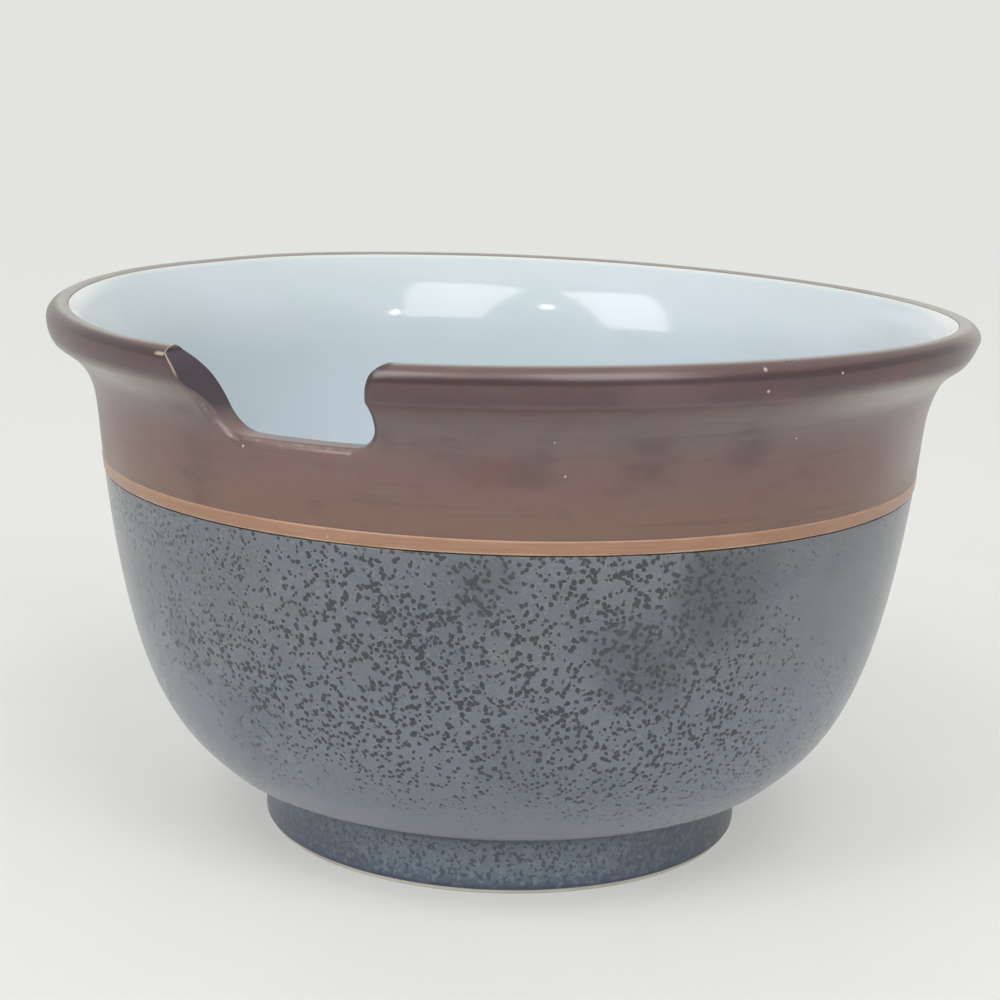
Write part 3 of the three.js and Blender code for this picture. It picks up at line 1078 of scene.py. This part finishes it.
# %% Colours of the slate glaze
colour = drift.step(0.35, 0.65).blend(tone(100, 105, 113), tone(109, 113, 121))
colour = colour.tinted(blue * 0.7, 88, 98, 114)
colour = colour.tinted(height.step(48, 26) * 0.85, 112, 120, 133)
colour = colour.tinted(halos * 0.4, 126, 131, 134)
colour = colour.tinted(clouds * (0.9 - plain * 0.4), 70, 75, 83)
colour = colour.tinted(spots * (0.92 - clouds * 0.2), 34, 39, 47)
roughness = 0.19 + spots * (1 - bare) * 0.2 + drift * 0.08
relief = where.noise(2.2, 3) * (0.8 - bare * 0.7) - spots * (1 - bare) * size.step(0.15, 0.35) * 0.5
feed(shader, Base_Color=colour, Roughness=roughness, Normal=bump(relief, 0.008), IOR=1.7)
coat_with(slate_glaze, belly_glaze)

# %% [markdown]
# ## Deep blue foot glaze
#
# On the foot the same glaze has pooled: it is bluer and darker, above all towards its lower edge. Its
# sides and the corner under the belly are darkened with painted shade. In front it is lighter, so that
# its dark and pale spots show more.

# %% Deep blue foot glaze
foot_finish, where, shader = start_finish("deep_blue_foot_glaze")
height = where.part("Z")
mottle = where.noise(1.3, 3, 0.6)
pool = where.noise(9, 2)
across = where.part("X")
front = across.step(-34, -12) * across.step(30, 10) * where.part("Y").step(-5, -25)
colour = (height + pool * 5).step(2, 9).blend(tone(74, 88, 116), tone(98, 108, 123))
colour = colour.tinted(front * height.step(1, 5) * 0.7, 122, 134, 150)
# Painted shade: darker towards the sides, most at the right.
colour = colour.tinted(across.step(12, 34) * 0.5, 56, 66, 82)
colour = colour.tinted(across.step(-14, -30) * 0.2, 56, 66, 86)
colour = colour.tinted(across.step(30, 39) * 0.6, 30, 36, 48)
colour = colour.tinted(mottle.step(0.5, 0.6) * (0.3 + front * 0.35), 132, 142, 154)
blots = where.noise(0.7, 2, 0.5)
colour = colour.tinted(blots.step(0.53, 0.6) * height.step(-1, 4) * (0.4 + front * 0.35), 50, 58, 73)
# Painted shade: a dark strip at the top of the foot, under the belly.
colour = colour.tinted((height + mottle * 0.8).step(8.4, 9.8), 62, 70, 83)
colour = colour.tinted(height.step(1.7, 1.1) * 0.7, 52, 58, 76)
feed(shader, Base_Color=colour, Roughness=0.26 + mottle * 0.12, Normal=bump(mottle + blots, 0.05), IOR=1.7)
coat_with(foot_finish, foot_glaze, base_glaze)

# %% [markdown]
# ## Bare clay
#
# The foot's lower edge and the body are unglazed stoneware: cream, dry and sandy.

# %% Bare clay
clay, where, shader = start_finish("bare_stoneware")
sand = where.noise(0.4, 3, 0.6)
colour = where.noise(8, 2).step(0.35, 0.65).blend(tone(232, 225, 213), tone(240, 234, 224))
colour = colour.tinted(sand.step(0.6, 0.75) * 0.4, 196, 180, 160)
feed(shader, Base_Color=colour, Roughness=0.85, Normal=bump(sand, 0.08))
coat_with(clay, foot_ring, clay_body)

# %% [markdown]
# ## Floor and backdrop
#
# The bowl stands on a pale sweep: a floor that curves up into a backdrop, so that no corner shows. The
# floor takes the shadow, but for the camera and for mirrored rays it glows in part too, more to the right
# of the bowl: painted light that softens the shadow. The backdrop glows faintly for those rays only,
# which keeps it pale without putting more light on the bowl.

# %% Floor and backdrop
SWEEP_BACK = 0.55
SWEEP_SIZE = 3
SWEEP_RISE = 1.5
SWEEP_BEND = 350
bpy.ops.object.select_all(action="DESELECT")
bpy.ops.mesh.primitive_plane_add(size=SWEEP_SIZE, location=(0, SWEEP_BACK - SWEEP_SIZE / 2, 0))
sweep = bpy.context.object
sweep.name = "sweep"
bpy.ops.object.transform_apply(location=True)
for edge in sweep.data.edges:
    edge.select = all(sweep.data.vertices[i].co.y > SWEEP_BACK - 0.01 for i in edge.vertices)
for face in sweep.data.polygons:
    face.select = False
bpy.ops.object.mode_set(mode="EDIT")
bpy.ops.mesh.select_mode(type="EDGE")
bpy.ops.mesh.extrude_region_move(TRANSFORM_OT_translate={"value": (0, 0, SWEEP_RISE)})
bpy.ops.object.mode_set(mode="OBJECT")
round_edges(sweep, width=SWEEP_BEND, segments=16, sharp=40)
bpy.ops.object.shade_smooth()

backdrop, where, shader = start_finish("pale_sweep")
paper = where.noise(60, 3)
colour = paper.step(0.3, 0.7).blend(tone(228, 229, 226), tone(232, 233, 230))
feed(shader, Base_Color=colour, Roughness=0.9)
shader.inputs["Specular IOR Level"].default_value = 0.2
ray = where.add("ShaderNodeLightPath")
seen = ray.also("Is Camera Ray").most(ray.also("Is Glossy Ray"))
distance = where.part("Y").step(130, 420)
glow_colour = distance.blend(tone(237, 237, 234), tone(227, 228, 224))
glow = where.add("ShaderNodeEmission", None, {"Color": glow_colour, "Strength": 1})
# Painted light: the floor glows more to the right of the bowl, which softens the shadow there.
aside = where.part("X").step(30, 160) * (1 - distance)
glow_share = (0.4 + distance * 0.6 + aside * 0.22) * seen
surface = Wire(where.tree, shader.outputs[0])
mixed = where.add("ShaderNodeMixShader", None, {0: glow_share, 1: surface, 2: glow})
where.tree.links.new(mixed.socket, where.tree.nodes["Material Output"].inputs["Surface"])
coat_with(backdrop, sweep)

# %% [markdown]
# ## Light
#
# Two large soft lamps stand to the left and the right of the camera, and a weak panel hangs above. The
# glossy inside is a hollow mirror: it shows the right lamp as a bright patch on the left and the left one
# as a patch on the right, and two small lamps as points. The sky is dimmer at both sides, which keeps
# the sides of the bowl from washing out.

# %% Lamps
LAMP_DISTANCE = 1.2
LAMP_AIM = Vector((0, 0, 0.06))


def add_lamp(name, turn, rise, width, height, radiance):
    """A rectangular lamp at an angle from the front and a height angle, facing the bowl."""
    flat = cos(radians(rise))
    way = Vector((sin(radians(turn)) * flat, -cos(radians(turn)) * flat, sin(radians(rise))))
    bpy.ops.object.light_add(type="AREA", location=LAMP_AIM + way * LAMP_DISTANCE)
    lamp = bpy.context.object
    lamp.name = name
    lamp.data.shape = "RECTANGLE"
    lamp.data.size = width
    lamp.data.size_y = height
    lamp.data.energy = radiance * pi * width * height
    lamp.rotation_euler = (-way).to_track_quat("-Z", "Y").to_euler()
    print(f"{name}: {lamp.data.energy:.1f} W")


add_lamp("right_softbox", turn=24.3, rise=46, width=0.55, height=0.95, radiance=4)
add_lamp("left_softbox", turn=-42, rise=42, width=0.47, height=0.96, radiance=4.7)
add_lamp("top_panel", turn=170, rise=84, width=0.9, height=0.9, radiance=0.4)
add_lamp("right_point", turn=41.8, rise=28.5, width=0.022, height=0.1, radiance=60)
add_lamp("middle_point", turn=-11.5, rise=41.8, width=0.055, height=0.12, radiance=22)

world = bpy.data.worlds.new("studio")
bpy.context.scene.world = world
world.use_nodes = True
sky = world.node_tree.nodes["Background"]
sky.inputs["Color"].default_value = (1, 1, 0.98, 1)
way = Wire(world.node_tree).add("ShaderNodeTexCoord", output="Generated")
sideways = way.math("ABSOLUTE", way.part("X"), 0)
feed(sky, Strength=0.36 - sideways.step(0.5, 0.9) * 0.1)
